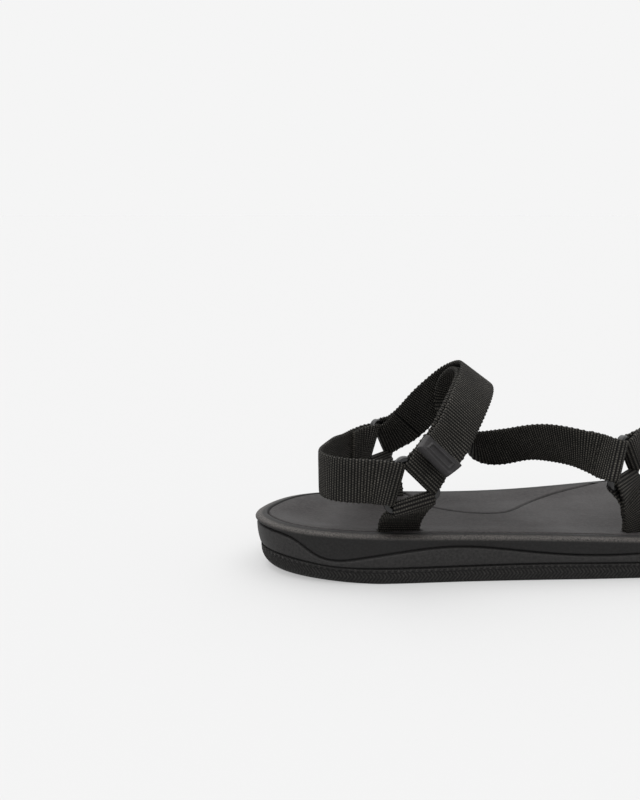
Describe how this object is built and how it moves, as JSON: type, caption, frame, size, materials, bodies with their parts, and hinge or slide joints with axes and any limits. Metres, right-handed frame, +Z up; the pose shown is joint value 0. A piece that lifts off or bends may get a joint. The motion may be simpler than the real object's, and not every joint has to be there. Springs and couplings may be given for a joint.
{
  "type": "strappy sport sandal",
  "caption": "Open sport sandal: webbing straps on triangular rings cross the instep and toes, with a heel strap, a hook-and-loop closure and a cushioned sole.",
  "frame": {"origin": "middle of the box round the sandal, on the ground under the sole", "axes": "+X to the toe, -Y to the outer (lateral) side of the right foot, +Z up"},
  "size_m": [0.2589, 0.1031, 0.0825],
  "materials": {
    "outsole_rubber": "matt",
    "midsole_foam": "matt",
    "footbed_foam": "matt",
    "ring_plastic": "semi-gloss",
    "webbing": "woven",
    "tab_rubber": "satin",
    "hook_tape": "pile",
    "thread": "twisted"
  },
  "bodies": {
    "sole": {"outsole": "outsole_rubber", "midsole": "midsole_foam", "footbed": "footbed_foam", "anchor_lateral_rear": "webbing", "anchor_medial_rear": "webbing", "anchor_lateral_front": "webbing", "anchor_stitching": "thread", "ring_lateral_rear": "ring_plastic", "ring_medial_rear": "ring_plastic", "ring_lateral_front": "ring_plastic", "diagonal_strap": "webbing", "loop_patch": "hook_tape", "diagonal_strap_stitching": "thread", "toe_strap": "webbing", "toe_strap_stitching": "thread"},
    "closure": {"closure_strap": "webbing", "hook_patch": "hook_tape", "closure_strap_stitching": "thread"},
    "pull_tab": {"pull_tab": "tab_rubber"},
    "heel_strap": {"heel_strap": "webbing", "heel_strap_stitching": "thread"}
  },
  "joints": [
    {"name": "closure_open", "type": "hinge", "parent": "sole", "child": "closure", "pos_m": [-0.06462, 0.04, 0.04283], "axis": [-0.4172, -0.3501, 0.8387], "range_deg": [0, 90]},
    {"name": "pull_tab_flex", "type": "hinge", "parent": "closure", "child": "pull_tab", "pos_m": [-0.06312, -0.04441, 0.0543], "axis": [-0.6359, 0.0084, 0.7717], "range_deg": [0, 30], "stiffness_Nm_per_rad": 0.003},
    {"name": "heel_strap_swing", "type": "hinge", "parent": "sole", "child": "heel_strap", "pos_m": [-0.07755, -0.00396, 0.04198], "axis": [0.1114, 0.9938, 0.0068], "range_deg": [-4, 4]}
  ]
}
